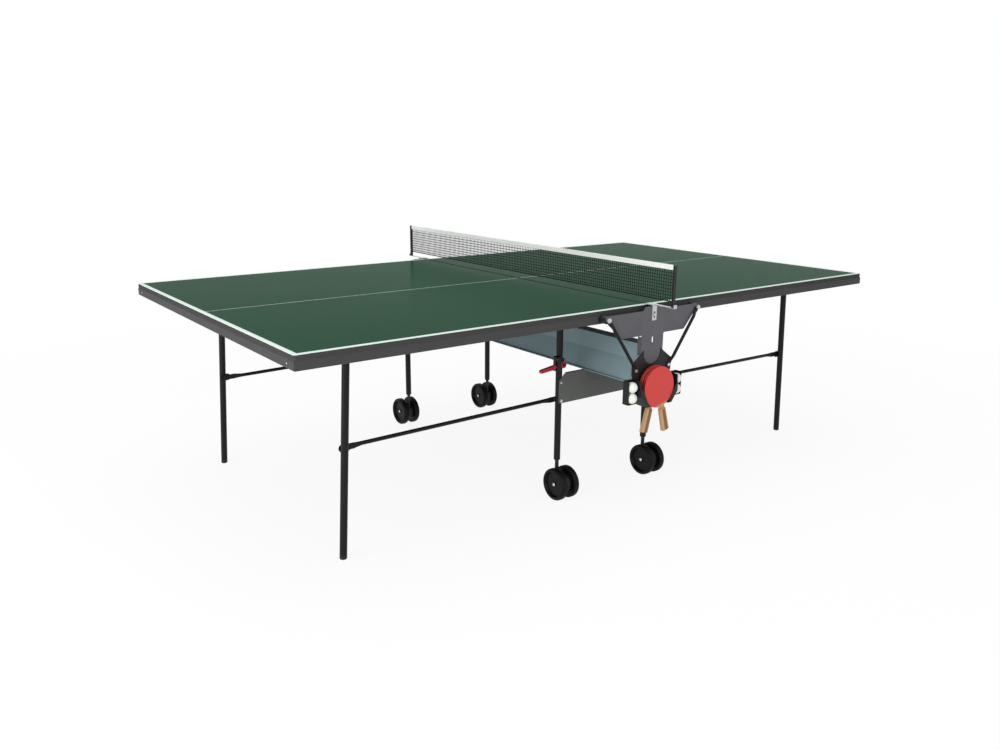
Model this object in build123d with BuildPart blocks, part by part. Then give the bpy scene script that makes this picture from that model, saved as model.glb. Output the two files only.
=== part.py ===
import math
import os

from build123d import *

os.makedirs("parts", exist_ok=True)

# Playing surface, millimetres, X along the table, Y across it, Z up from the floor
table_length = 2740.0
table_width = 1525.0
table_height = 760.0
board_thick = 19.0
board_edge = 1.0
board_corner = 10.0
split_gap = 6.0

# Rails under the boards
rail_height = 28.0
rail_depth = 18.0
rail_wall = 2.0
rail_bend = 1.5
mitre_gap = 0.2

# Fold pivots of the two halves
pivot_x = 228.0
pivot_drop = 10.0
pivot_bolt_d = 10.0
pivot_head_d = 18.0
pivot_head = 6.0
pivot_nut = 7.0
pivot_nut_d = 15.0
bolt_tail = 2.0
sleeve_d = 28.0
run_gap = 0.3

# End legs, one bent tube for each half
leg_tube_d = 25.0
leg_wall = 1.5
leg_inset = 212.5
leg_hinge_inset = 265.0
leg_hinge_drop = 21.0
leg_splay = 40.0
leg_bend = 60.0
clip_inset = 100.0
clip_length = 40.0
clip_wall = 2.5
clip_flange = 70.0
foot_cap_floor = 14.0
foot_cap_edge = 4.0
foot_cap_plug = 25.0
foot_cap_fit = 0.05

# Link bars between wheel legs and end legs
link_pin_z = 386.0
link_bar_d = 14.0
link_eye_w = 20.0
link_eye_t = 4.0
link_side_gap = 0.7
link_pin_d = 8.0
link_head_d = 14.0
link_head_t = 4.0
link_flat = 30.0
link_neck = 28.0
link_tail = 12.0
bracket_t = 3.0
bracket_h = 28.0
bracket_nut_d = 10.5

# Wheel legs and castors
wheel_leg_x = 233.0
wheel_leg_gap = 5.0
wheel_leg_bottom = 150.0
wheel_leg_cap = 3.0
socket_depth = 40.0
stem_d = 11.0
stem_neck_d = 15.0
stem_fit = 0.05
castor_trail = 28.0
wheel_d = 125.0
tread_w = 25.0
tread_round = 9.0
tread_inner_round = 4.0
wheel_track = 59.0
wheel_rim = 13.0
wheel_dish = 9.0
wheel_dish_round = 2.5
wheel_hub_d = 24.0
wheel_hub_step = 2.0
axle_d = 10.0
axle_end = 2.0
axle_chamfer = 1.0
hood_r = 44.0
hood_gap = 1.5
hood_drop = 28.5
hood_round = 3.0
stem_clear = 1.0

# T-posts
post_gap = 30.0
post_sheet = 2.5
post_half = 55.0
post_foot_half = 60.0
post_bottom = 440.0
post_flange = 18.0
post_round = 6.0
arm_rise = 3.0
arm_depth = 89.0
arm_top_half = 243.0
arm_low_half = 163.0
arm_flange = 12.0
arm_flange_gap = 10.0
hump_half = 42.0
hump_slope = 10.0
hump_drop = 2.0
wing_half = 100.0
wing_top = 548.0
wing_low = 512.0
wing_slope = 27.0
wing_root_half = 80.0
wing_root_drop = 14.0
slot_drop = 24.0
slot_w = 8.0
slot_h = 30.0

# Brace tubes of the T-posts
brace_d = 12.0
brace_eye_w = 18.0
brace_eye_t = 3.0
brace_foot_x = 84.0
brace_foot_z = 530.0
brace_flat = 16.0
brace_neck = 20.0
brace_bolt_d = 8.0
brace_head_d = 13.0
brace_head = 4.0

# Cross beam and side panels
beam_sheet = 2.5
beam_top = 615.0
beam_swing_gap = 4.0
beam_crease_x = 52.0
beam_crease_z = 560.0
beam_foot_x = 100.0
beam_hem = 16.0
beam_bolt_gap = 2.0
panel_sheet = 2.0
panel_half = 243.0
panel_top = 490.0
panel_bottom = 376.0
panel_cut = 26.0
panel_round = 6.0
panel_flange = 12.0
panel_flange_half = 205.0

# Net
net_overhang = 121.5
net_post_w = 11.0
net_post_t = 12.0
net_post_round = 3.0
net_post_tip = 1.0
net_height = 155.0
net_lift = 24.0
net_thick = 1.2
net_columns = 60
net_rows = 5
net_cord = 2.6
net_border = 5.0
tape_height = 18.0
tape_thick = 3.0
clamp_w = 22.0
clamp_sheet = 3.0
clamp_gap = 2.0
clamp_tab = 38.0
clamp_arm_w = 15.0
clamp_tongue_w = 30.0
clamp_tongue_gap = 0.5
clamp_over = 11.0
clamp_upturn = 10.0
clamp_bolt_drop = 17.0
clamp_slot_h = 24.0

# Lock levers
lever_z = 528.0
lever_droop = 7.0
lever_hub_d = 26.0
lever_hub_w = 11.5
lever_pin_d = 8.0
lever_arm_h = 10.0
lever_arm_t = 6.0
lever_grip_from = 42.0
lever_grip_to = 102.0
lever_grip_r = 8.5
lever_tip_r = 7.0
lever_grip_w = 14.0
lever_grip_round = 3.0
lever_arm_gap = 0.7
housing_bottom = 505.0
housing_top = 560.0
housing_left = 262.0
housing_right = 247.0
housing_plate = 2.5
housing_plate_low = 515.0
housing_plate_top = 552.0
housing_slot_low = 510.0
housing_slot_top = 546.0
housing_round = 5.0
housing_slot_gap = 0.5
housing_slot_side = 2.0
housing_front = 1.0
lever_washer = 2.0

# Rackets, balls and their holder
racket_z = 465.0
racket_tilt = 15.0
blade_half_w = 75.0
blade_half_h = 78.0
blade_thick = 6.0
rubber_thick = 2.0
rubber_cut = 66.0
grip_start = 87.0
grip_end = 177.0
grip_neck_w = 24.0
grip_end_w = 29.0
grip_thick = 20.0
grip_round = 4.0
core_w = 24.0
racket_gap = 0.5
racket_back_gap = 1.0
holder_sheet = 2.5
holder_half = 94.5
holder_low = 413.0
holder_top = 598.0
holder_horn_half = 43.0
holder_horn_rise = 8.0
holder_notch_z = 545.0
holder_slot_half = 44.0
holder_foot_rise = 26.0
holder_foot_cut = 30.0
holder_lip = 14.0
holder_lip_rise = 62.0
holder_front_gap = 1.0
ball_d = 40.0
ball_fit = 0.3
trough_wall = 2.5
trough_top = 500.0
trough_lip = 6.0

# Places that follow from the sizes
half_len = table_length / 2
half_wid = table_width / 2
board_under = table_height - board_thick
rail_bottom = board_under - rail_height
rail_mid = board_under - rail_height / 2
pivot_z = board_under - pivot_drop
leg_r = leg_tube_d / 2
leg_y = half_wid - leg_inset
leg_hinge_x = half_len - leg_hinge_inset
leg_hinge_z = board_under - leg_hinge_drop
leg_foot_x = leg_hinge_x + leg_splay
clip_y = leg_y - clip_inset
wheel_leg_top = board_under - wheel_leg_gap
post_back = half_wid + post_gap
post_face = post_back + post_sheet
arm_top = board_under + arm_rise
arm_bottom = arm_top - arm_depth
hump_top = table_height - hump_drop
slot_z = arm_bottom - slot_drop
clamp_arm_z = table_height + clamp_gap
clamp_tab_low = arm_top - clamp_tab
clamp_bolt_z = arm_top - clamp_bolt_drop
clamp_tongue_y = half_wid + clamp_tongue_gap
net_post_y = half_wid + net_overhang
clamp_end_y = net_post_y + clamp_over
net_top = table_height + net_height
net_bottom = table_height + net_lift
ends = (("left", -1), ("right", 1))
sides = (("near", -1), ("far", 1))


def copy_to(shape, ex, sy):
    # the master of every piece stands at the left end on the near side
    if ex > 0:
        shape = shape.mirror(Plane.YZ)
    if sy > 0:
        shape = shape.mirror(Plane.XZ)
    return shape


def save(part, name):
    part.label = name
    export_step(part, "parts/" + name + ".step")


def flat_ended_bar(p, q, y_mid, eye_from, eye_t, bar_d, eye_w, flat, neck, hole_d, tail):
    # round bar with two flattened eyes, lying in a plane parallel to XZ at y = -y_mid,
    # the eye at q runs on past its hole as a tail
    length = math.hypot(q[0] - p[0], q[1] - p[1])
    along = Vector((q[0] - p[0]) / length, 0, (q[1] - p[1]) / length)
    base = Vector(p[0], -y_mid, p[1])
    frame = Plane(origin=base, x_dir=along, z_dir=(0, -1, 0))
    eye_mid = eye_from + eye_t / 2
    start = flat + neck
    with BuildPart() as bar:
        with BuildSketch(Plane(origin=base + along * start, x_dir=(0, -1, 0), z_dir=along)):
            Circle(bar_d / 2)
        extrude(amount=length - 2 * start)
        for sign, centre, over in ((1, 0.0, 0.0), (-1, length, tail)):
            near_end = base + along * (centre + sign * flat)
            far_end = base + along * (centre + sign * start)
            with BuildSketch(Plane(origin=near_end, x_dir=(0, -1, 0), z_dir=along)):
                with Locations((eye_mid, 0)):
                    Ellipse(eye_t / 2, eye_w / 2)
            with BuildSketch(Plane(origin=far_end, x_dir=(0, -1, 0), z_dir=along)):
                Circle(bar_d / 2)
            loft()
            with BuildSketch(frame.offset(eye_from)):
                with Locations((centre - sign * over, 0)):
                    Circle(eye_w / 2)
                with Locations((centre + sign * (flat + 1 - over) / 2, 0)):
                    Rectangle(flat + 1 + over, eye_w)
                with Locations((centre, 0)):
                    Circle(hole_d / 2, mode=Mode.SUBTRACT)
            extrude(amount=eye_t)
    return bar.part


# Half boards
with BuildPart() as board:
    with BuildSketch(Plane.XY.offset(board_under)) as board_plan:
        with Locations((-(half_len + split_gap / 2) / 2, 0)):
            Rectangle(half_len - split_gap / 2, table_width)
        fillet(board_plan.vertices().group_by(Axis.X)[0], board_corner)
    extrude(amount=board_thick)
    chamfer(board.faces().sort_by(Axis.Z)[-1].edges(), board_edge)
for end, ex in ends:
    with BuildPart() as board_copy:
        add(copy_to(board.part, ex, -1))
    save(board_copy.part, "board_" + end)

# Side rails, channel section open to the inside, mitred at the outer corner
corner = (-half_len, -half_wid)
with BuildPart() as side_rail:
    with BuildSketch(Plane.YZ.offset(-half_len)) as side_section:
        with Locations((-half_wid + rail_depth / 2, rail_mid)):
            Rectangle(rail_depth, rail_height)
        fillet(side_section.vertices().group_by(Axis.Y)[0], rail_bend)
        with Locations((-half_wid + rail_wall + rail_depth / 2, rail_mid)):
            Rectangle(rail_depth, rail_height - 2 * rail_wall, mode=Mode.SUBTRACT)
    extrude(amount=half_len - split_gap / 2)
    with BuildSketch(Plane.XY.offset(rail_bottom - 1)):
        with BuildLine():
            Polyline(
                (corner[0] - 1 + mitre_gap, corner[1] - 1),
                (corner[0] + rail_depth + 1 + mitre_gap, corner[1] + rail_depth + 1),
                (corner[0] - 1, corner[1] + rail_depth + 1),
                (corner[0] - 1, corner[1] - 1),
                close=True,
            )
        make_face()
    extrude(amount=rail_height + 2, mode=Mode.SUBTRACT)
    with BuildSketch(Plane.XZ.offset(half_wid + 1)):
        with Locations((-pivot_x, pivot_z)):
            Circle(pivot_bolt_d / 2 + run_gap)
    extrude(amount=-rail_wall - 2, mode=Mode.SUBTRACT)
for end, ex in ends:
    for side, sy in sides:
        with BuildPart() as rail_copy:
            add(copy_to(side_rail.part, ex, sy))
        save(rail_copy.part, "side_rail_" + side + "_" + end)

# End rails
with BuildPart() as end_rail:
    with BuildSketch(Plane.XZ.offset(half_wid)) as end_section:
        with Locations((-half_len + rail_depth / 2, rail_mid)):
            Rectangle(rail_depth, rail_height)
        fillet(end_section.vertices().group_by(Axis.X)[0], rail_bend)
        with Locations((-half_len + rail_wall + rail_depth / 2, rail_mid)):
            Rectangle(rail_depth, rail_height - 2 * rail_wall, mode=Mode.SUBTRACT)
    extrude(amount=-table_width)
    for sy in (-1, 1):
        with BuildSketch(Plane.XY.offset(rail_bottom - 1)):
            with BuildLine():
                Polyline(
                    (corner[0] - 1, sy * (half_wid + 1)),
                    (corner[0] + rail_depth + 1, sy * (half_wid - rail_depth - 1)),
                    (corner[0] + rail_depth + 1, sy * (half_wid + 1)),
                    close=True,
                )
            make_face()
        extrude(amount=rail_height + 2, mode=Mode.SUBTRACT)
for end, ex in ends:
    with BuildPart() as end_rail_copy:
        add(copy_to(end_rail.part, ex, -1))
    save(end_rail_copy.part, "end_rail_" + end)

# Clips that hold the leg frame's cross tube under the board
clip_r = leg_r + run_gap + clip_wall
with BuildPart() as clip:
    with BuildSketch(Plane.XZ.offset(clip_y - clip_length / 2)):
        with Locations((-leg_hinge_x, leg_hinge_z)):
            Circle(clip_r)
        with Locations((-leg_hinge_x, (leg_hinge_z + board_under) / 2)):
            Rectangle(2 * clip_r, board_under - leg_hinge_z)
        with Locations((-leg_hinge_x, board_under - clip_wall / 2)):
            Rectangle(clip_flange, clip_wall)
        with Locations((-leg_hinge_x, leg_hinge_z)):
            Circle(leg_r + run_gap, mode=Mode.SUBTRACT)
    extrude(amount=clip_length)
for end, ex in ends:
    with BuildPart() as clip_pair:
        for side, sy in sides:
            add(copy_to(clip.part, ex, sy))
    save(clip_pair.part, "leg_clips_" + end)

# Leg frames: both legs and the cross tube are one bent tube
leg_rise = math.hypot(leg_foot_x - leg_hinge_x, leg_hinge_z)
leg_dir = ((leg_foot_x - leg_hinge_x) / leg_rise, 0, leg_hinge_z / leg_rise)
tube_foot = (
    -leg_foot_x + leg_dir[0] * foot_cap_floor,
    -leg_y,
    leg_dir[2] * foot_cap_floor,
)
with BuildPart() as leg_frame:
    with BuildLine() as leg_path:
        FilletPolyline(
            tube_foot,
            (-leg_hinge_x, -leg_y, leg_hinge_z),
            (-leg_hinge_x, leg_y, leg_hinge_z),
            (tube_foot[0], leg_y, tube_foot[2]),
            radius=leg_bend,
        )
    with BuildSketch(Plane(origin=tube_foot, x_dir=(0, 1, 0), z_dir=leg_dir)):
        Circle(leg_r)
        Circle(leg_r - leg_wall, mode=Mode.SUBTRACT)
    sweep()
for end, ex in ends:
    with BuildPart() as leg_frame_copy:
        add(copy_to(leg_frame.part, ex, -1))
    save(leg_frame_copy.part, "leg_frame_" + end)

# Foot caps: a plug in the tube's end and a round-edged foot, flat on the floor
foot_plane = Plane(origin=(-leg_foot_x, -leg_y, 0), x_dir=(0, 1, 0), z_dir=leg_dir)
with BuildPart() as foot_cap:
    with BuildSketch(foot_plane.offset(-leg_r)):
        Circle(leg_r)
    extrude(amount=leg_r + foot_cap_floor)
    with Locations((-leg_foot_x, -leg_y, 0)):
        Box(
            2 * leg_tube_d,
            2 * leg_tube_d,
            leg_tube_d,
            align=(Align.CENTER, Align.CENTER, Align.MAX),
            mode=Mode.SUBTRACT,
        )
    fillet(foot_cap.faces().sort_by(Axis.Z)[0].edges(), foot_cap_edge)
    with BuildSketch(foot_plane.offset(foot_cap_floor)):
        Circle(leg_r - leg_wall - foot_cap_fit)
    extrude(amount=foot_cap_plug)
for end, ex in ends:
    with BuildPart() as cap_pair:
        for side, sy in sides:
            add(copy_to(foot_cap.part, ex, sy))
    save(cap_pair.part, "foot_caps_" + end)

# Link pins: the bar is as long as the span from fold pivot to leg hinge and lies parallel to it
link_low = (-wheel_leg_x, link_pin_z)
link_top = (
    link_low[0] - (leg_hinge_x - pivot_x),
    link_low[1] + (leg_hinge_z - pivot_z),
)
leg_inner = leg_y - leg_r
eye_outer = leg_inner - bracket_t - link_side_gap
eye_inner = eye_outer - link_eye_t
link_mid = eye_outer - link_bar_d / 2
leg_at_pin = -leg_hinge_x - (leg_foot_x - leg_hinge_x) * (leg_hinge_z - link_top[1]) / leg_hinge_z

# Link brackets, welded to the inner side of the legs, each with its pin
with BuildPart() as link_bracket:
    with BuildSketch(Plane.XZ.offset(leg_inner - bracket_t)) as bracket_plan:
        with Locations(((leg_at_pin + link_top[0]) / 2, link_top[1])):
            SlotCenterToCenter(abs(link_top[0] - leg_at_pin), bracket_h)
    extrude(amount=bracket_t)
    with BuildSketch(Plane.XZ.offset(eye_inner - run_gap)):
        with Locations(link_top):
            Circle(link_pin_d / 2)
    extrude(amount=leg_inner - eye_inner + run_gap)
    with BuildSketch(Plane.XZ.offset(eye_inner - run_gap)):
        with Locations(link_top):
            RegularPolygon(link_head_d / 2, 6)
    extrude(amount=-link_head_t)
    with BuildSketch(Plane.XZ.offset(leg_inner)):
        with Locations(link_top):
            RegularPolygon(bracket_nut_d / 2, 6)
    extrude(amount=link_head_t)
    with BuildSketch(Plane(origin=tube_foot, x_dir=(0, 1, 0), z_dir=leg_dir)):
        Circle(leg_r)
    extrude(amount=leg_hinge_z - 2 * leg_bend, mode=Mode.SUBTRACT)
for end, ex in ends:
    with BuildPart() as bracket_pair:
        for side, sy in sides:
            add(copy_to(link_bracket.part, ex, sy))
    save(bracket_pair.part, "link_brackets_" + end)

# Link bars
link_bar = flat_ended_bar(
    link_low,
    link_top,
    link_mid,
    eye_inner - link_mid,
    link_eye_t,
    link_bar_d,
    link_eye_w,
    link_flat,
    link_neck,
    link_pin_d + 2 * run_gap,
    link_tail,
)
for end, ex in ends:
    for side, sy in sides:
        with BuildPart() as link_copy:
            add(copy_to(link_bar, ex, sy))
        save(link_copy.part, "link_bar_" + side + "_" + end)

# Wheel legs: tube closed at the top, castor socket at the bottom
leg_outer = leg_y + leg_r
with BuildPart() as wheel_leg:
    with Locations((-wheel_leg_x, -leg_y, wheel_leg_bottom)):
        Cylinder(
            leg_r,
            wheel_leg_top - wheel_leg_bottom,
            align=(Align.CENTER, Align.CENTER, Align.MIN),
        )
        Cylinder(
            stem_d / 2 + stem_fit,
            socket_depth,
            align=(Align.CENTER, Align.CENTER, Align.MIN),
            mode=Mode.SUBTRACT,
        )
    with Locations((-wheel_leg_x, -leg_y, wheel_leg_bottom + socket_depth)):
        Cylinder(
            leg_r - leg_wall,
            wheel_leg_top - wheel_leg_bottom - socket_depth - wheel_leg_cap,
            align=(Align.CENTER, Align.CENTER, Align.MIN),
            mode=Mode.SUBTRACT,
        )
    with BuildSketch(Plane.XZ.offset(leg_y)):
        with Locations(link_low):
            Circle(link_pin_d / 2 + run_gap)
    extrude(amount=leg_r + 1, both=True, mode=Mode.SUBTRACT)
    fillet(wheel_leg.faces().sort_by(Axis.Z)[-1].edges(), leg_wall)
for end, ex in ends:
    for side, sy in sides:
        with BuildPart() as wheel_leg_copy:
            add(copy_to(wheel_leg.part, ex, sy))
        save(wheel_leg_copy.part, "wheel_leg_" + side + "_" + end)

# Castors: stem, hood between the two wheels and the axle's bore
axle_y = leg_y + castor_trail
wheel_r = wheel_d / 2
hood_half = wheel_track / 2 - tread_w / 2 - hood_gap
hood_floor = wheel_r - hood_drop
with BuildPart() as castor:
    with BuildSketch(Plane.YZ.offset(-wheel_leg_x)):
        with Locations((-axle_y, wheel_r)):
            Circle(hood_r)
        with Locations((-axle_y, hood_floor / 2)):
            Rectangle(3 * hood_r, hood_floor, mode=Mode.SUBTRACT)
    extrude(amount=hood_half, both=True)
    fillet(castor.edges().filter_by(GeomType.CIRCLE), hood_round)
    with Locations((-wheel_leg_x, -leg_y, wheel_r)):
        Cylinder(
            stem_neck_d / 2,
            wheel_leg_bottom - run_gap - wheel_r,
            align=(Align.CENTER, Align.CENTER, Align.MIN),
        )
        Cylinder(
            stem_d / 2,
            wheel_leg_bottom + socket_depth - stem_clear - wheel_r,
            align=(Align.CENTER, Align.CENTER, Align.MIN),
        )
    with BuildSketch(Plane.YZ.offset(-wheel_leg_x)):
        with Locations((-axle_y, wheel_r)):
            Circle(axle_d / 2 + stem_fit)
    extrude(amount=2 * hood_half, both=True, mode=Mode.SUBTRACT)
for end, ex in ends:
    for side, sy in sides:
        with BuildPart() as castor_copy:
            add(copy_to(castor.part, ex, sy))
        save(castor_copy.part, "castor_" + side + "_" + end)

# Wheel sets: two wheels with round shoulders and a dished face, pressed on one axle
tread_in = wheel_track / 2 - tread_w / 2
tread_out = wheel_track / 2 + tread_w / 2
dish_x = tread_out - wheel_dish
hub_x = dish_x + wheel_hub_step
axle_x = hub_x + axle_end
wheel_centre = (-wheel_leg_x, -axle_y, wheel_r)
wheel_axis = Axis(wheel_centre, (1, 0, 0))
with BuildPart() as wheel_set:
    for sx in (-1, 1):
        with BuildSketch(Plane(origin=wheel_centre, x_dir=(1, 0, 0), z_dir=(0, -1, 0))) as wheel_section:
            with BuildLine():
                Polyline(
                    (sx * tread_in, 0),
                    (sx * tread_in, wheel_r),
                    (sx * tread_out, wheel_r),
                    (sx * tread_out, wheel_r - wheel_rim),
                    (sx * dish_x, wheel_r - wheel_rim - wheel_dish / 2),
                    (sx * dish_x, wheel_hub_d / 2),
                    (sx * hub_x, wheel_hub_d / 2 - wheel_hub_step),
                    (sx * hub_x, axle_d / 2),
                    (sx * axle_x, axle_d / 2 - axle_chamfer),
                    (sx * axle_x, 0),
                    close=True,
                )
            make_face()
            shoulders = wheel_section.vertices().group_by(Axis.Y)[-1]
            fillet(shoulders.sort_by_distance((0, wheel_r))[0], tread_inner_round)
            shoulders = wheel_section.vertices().group_by(Axis.Y)[-1]
            fillet(shoulders.sort_by_distance((0, wheel_r))[-1], tread_round)
        revolve(axis=wheel_axis)
    with BuildSketch(Plane.YZ.offset(-wheel_leg_x)):
        with Locations((-axle_y, wheel_r)):
            Circle(axle_d / 2)
    extrude(amount=wheel_track / 2, both=True)
for end, ex in ends:
    for side, sy in sides:
        with BuildPart() as wheel_set_copy:
            add(copy_to(wheel_set.part, ex, sy))
        save(wheel_set_copy.part, "wheel_set_" + side + "_" + end)

# T-posts: folded sheet with a slot, pivot holes and stiffening flanges
post_points = [
    (hump_half, hump_top),
    (hump_half + hump_slope, arm_top),
    (arm_top_half, arm_top),
    (arm_low_half, arm_bottom),
    (post_half, arm_bottom),
    (post_half, wing_top + wing_slope),
    (wing_half, wing_top),
    (wing_half, wing_low),
    (wing_root_half, wing_low - wing_root_drop),
    (post_foot_half, post_bottom),
]
post_outline = post_points + [(-x, z) for x, z in reversed(post_points)]
with BuildPart() as t_post:
    with BuildSketch(Plane.XZ.offset(post_back)) as post_plan:
        with BuildLine():
            Polyline(*post_outline, close=True)
        make_face()
        fillet(post_plan.vertices(), post_round)
        with Locations((-pivot_x, pivot_z), (pivot_x, pivot_z)):
            Circle(pivot_bolt_d / 2 + run_gap, mode=Mode.SUBTRACT)
        with Locations((-brace_foot_x, brace_foot_z), (brace_foot_x, brace_foot_z), (0, clamp_bolt_z)):
            Circle(brace_bolt_d / 2 + run_gap, mode=Mode.SUBTRACT)
        with Locations((0, slot_z)):
            SlotOverall(slot_h, slot_w, rotation=90, mode=Mode.SUBTRACT)
    extrude(amount=post_sheet)
    for sx in (-1, 1):
        with BuildSketch(Plane.XZ.offset(post_back)):
            with Locations((sx * (post_half - post_sheet / 2), (wing_top + wing_slope + arm_bottom) / 2)):
                Rectangle(post_sheet, arm_bottom - wing_top - wing_slope - 2 * post_round)
        extrude(amount=-post_flange)
        with BuildSketch(Plane.XZ.offset(post_back)):
            with Locations((sx * (post_half + arm_low_half) / 2, arm_bottom + post_sheet / 2)):
                Rectangle(arm_low_half - post_half - 2 * arm_flange_gap, post_sheet)
        extrude(amount=-arm_flange)
for side, sy in sides:
    with BuildPart() as t_post_copy:
        add(copy_to(t_post.part, -1, sy))
    save(t_post_copy.part, "t_post_" + side)

# Brace tubes from the pivots down to the post's wings
eye_back = post_face + holder_sheet
brace_mid = eye_back + brace_d / 2
brace = flat_ended_bar(
    (-pivot_x, pivot_z),
    (-brace_foot_x, brace_foot_z),
    brace_mid,
    eye_back - brace_mid,
    brace_eye_t,
    brace_d,
    brace_eye_w,
    brace_flat,
    brace_neck,
    pivot_bolt_d + 2 * run_gap,
    0.0,
)
for end, ex in ends:
    for side, sy in sides:
        with BuildPart() as brace_copy:
            add(copy_to(brace, ex, sy))
        save(brace_copy.part, "brace_" + side + "_" + end)

# Bolts of the frame: fold pivots, brace feet, link pins, net clamps
eye_face = eye_back + brace_eye_t
with BuildPart() as pivot_bolt:
    with BuildSketch(Plane.XZ.offset(eye_face)):
        with Locations((-pivot_x, pivot_z)):
            RegularPolygon(pivot_head_d / 2, 6)
    extrude(amount=pivot_head)
    with BuildSketch(Plane.XZ.offset(eye_face)):
        with Locations((-pivot_x, pivot_z)):
            Circle(pivot_bolt_d / 2)
    extrude(amount=half_wid - rail_wall - run_gap - pivot_nut - eye_face)
    with BuildSketch(Plane.XZ.offset(half_wid - rail_wall - run_gap)):
        with Locations((-pivot_x, pivot_z)):
            RegularPolygon(pivot_nut_d / 2, 6)
    extrude(amount=-pivot_nut)
    with BuildSketch(Plane.XZ.offset(post_face)):
        with Locations((-pivot_x, pivot_z)):
            Circle(pivot_head_d / 2)
    extrude(amount=holder_sheet)
with BuildPart() as brace_bolt:
    with BuildSketch(Plane.XZ.offset(eye_face)):
        with Locations((-brace_foot_x, brace_foot_z)):
            RegularPolygon(brace_head_d / 2, 6)
    extrude(amount=brace_head)
    with BuildSketch(Plane.XZ.offset(eye_face)):
        with Locations((-brace_foot_x, brace_foot_z)):
            Circle(brace_bolt_d / 2)
    extrude(amount=post_back - bolt_tail - eye_face)
    with BuildSketch(Plane.XZ.offset(post_back)):
        with Locations((-brace_foot_x, brace_foot_z)):
            RegularPolygon(brace_head_d / 2, 6)
    extrude(amount=-brace_head)
with BuildPart() as brace_washer:
    with BuildSketch(Plane.XZ.offset(post_face)):
        with Locations((-brace_foot_x, brace_foot_z)):
            Circle(brace_eye_w / 2)
    extrude(amount=holder_sheet)
with BuildPart() as link_bolt:
    with BuildSketch(Plane.XZ.offset(leg_outer + panel_sheet)):
        with Locations(link_low):
            RegularPolygon(link_head_d / 2, 6)
    extrude(amount=link_head_t)
    with BuildSketch(Plane.XZ.offset(leg_outer + panel_sheet)):
        with Locations(link_low):
            Circle(link_pin_d / 2)
    extrude(amount=eye_inner - run_gap - leg_outer - panel_sheet)
    with BuildSketch(Plane.XZ.offset(eye_inner - run_gap)):
        with Locations(link_low):
            RegularPolygon(link_head_d / 2, 6)
    extrude(amount=-link_head_t)
    with BuildSketch(Plane.XZ.offset(leg_inner - bracket_t)):
        with Locations(link_low):
            Circle(link_head_d / 2)
    extrude(amount=bracket_t)
    with Locations((-wheel_leg_x, -leg_y, link_pin_z)):
        Cylinder(leg_r, 2 * link_head_d, mode=Mode.SUBTRACT)
    with BuildSketch(Plane.XZ.offset(leg_outer)):
        with Locations(link_low):
            Circle(link_pin_d / 2)
    extrude(amount=-leg_tube_d)
clamp_face = post_face + clamp_sheet
with BuildPart() as clamp_bolt:
    with BuildSketch(Plane.XZ.offset(clamp_face)):
        with Locations((0, clamp_bolt_z)):
            RegularPolygon(brace_head_d / 2, 6)
    extrude(amount=brace_head)
    with BuildSketch(Plane.XZ.offset(clamp_face)):
        with Locations((0, clamp_bolt_z)):
            Circle(brace_bolt_d / 2)
    extrude(amount=post_back - bolt_tail - clamp_face)
    with BuildSketch(Plane.XZ.offset(post_back)):
        with Locations((0, clamp_bolt_z)):
            RegularPolygon(brace_head_d / 2, 6)
    extrude(amount=-brace_head)
with BuildPart() as frame_bolts:
    for side, sy in sides:
        for end, ex in ends:
            add(copy_to(pivot_bolt.part, ex, sy))
            add(copy_to(brace_bolt.part, ex, sy))
            add(copy_to(link_bolt.part, ex, sy))
        add(copy_to(clamp_bolt.part, -1, sy))
    for end, ex in ends:
        add(copy_to(brace_washer.part, ex, 1))
save(frame_bolts.part, "frame_bolts")

# Spacer sleeves between T-posts and side rails
with BuildPart() as sleeve:
    with BuildSketch(Plane.XZ.offset(half_wid + run_gap)):
        with Locations((-pivot_x, pivot_z)):
            Circle(sleeve_d / 2)
            Circle(pivot_bolt_d / 2 + run_gap, mode=Mode.SUBTRACT)
    extrude(amount=post_back - half_wid - run_gap)
with BuildPart() as pivot_sleeves:
    for side, sy in sides:
        for end, ex in ends:
            add(copy_to(sleeve.part, ex, sy))
save(pivot_sleeves.part, "pivot_sleeves")

# Cross beam: flared roof of folded sheet, closed at its ends, hems on the side panels
# the beam's flat top is as wide as the swing of a folding half's inner edge leaves room for
swing_r = math.hypot(pivot_x - split_gap / 2, board_thick + pivot_drop)
beam_top_half = pivot_x - math.sqrt((swing_r + beam_swing_gap) ** 2 - (pivot_z - beam_top) ** 2)
beam_hem_z = panel_top + beam_sheet
beam_half_line = [
    (beam_top_half, beam_top),
    (beam_crease_x, beam_crease_z),
    (beam_foot_x, beam_hem_z),
    (beam_foot_x + beam_hem, beam_hem_z),
]
beam_line = [(-x, z) for x, z in reversed(beam_half_line)] + beam_half_line
with BuildPart() as cross_beam:
    with BuildSketch(Plane.XZ.offset(post_back)):
        with BuildLine():
            Polyline(*beam_line, *[(x, z - beam_sheet) for x, z in reversed(beam_line)], close=True)
        make_face()
    extrude(amount=-2 * post_back)
    for face_y, depth in ((post_back, -post_sheet), (-post_back, post_sheet)):
        with BuildSketch(Plane.XZ.offset(face_y)):
            with BuildLine():
                Polyline(
                    (-beam_foot_x, panel_top),
                    (-beam_foot_x, beam_hem_z),
                    (-beam_crease_x, beam_crease_z),
                    (-beam_top_half, beam_top),
                    (beam_top_half, beam_top),
                    (beam_crease_x, beam_crease_z),
                    (beam_foot_x, beam_hem_z),
                    (beam_foot_x, panel_top),
                    close=True,
                )
            make_face()
            with Locations((-brace_foot_x, brace_foot_z), (brace_foot_x, brace_foot_z)):
                Circle(brace_head_d / 2 + beam_bolt_gap, mode=Mode.SUBTRACT)
        extrude(amount=depth)
save(cross_beam.part, "cross_beam")

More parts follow.
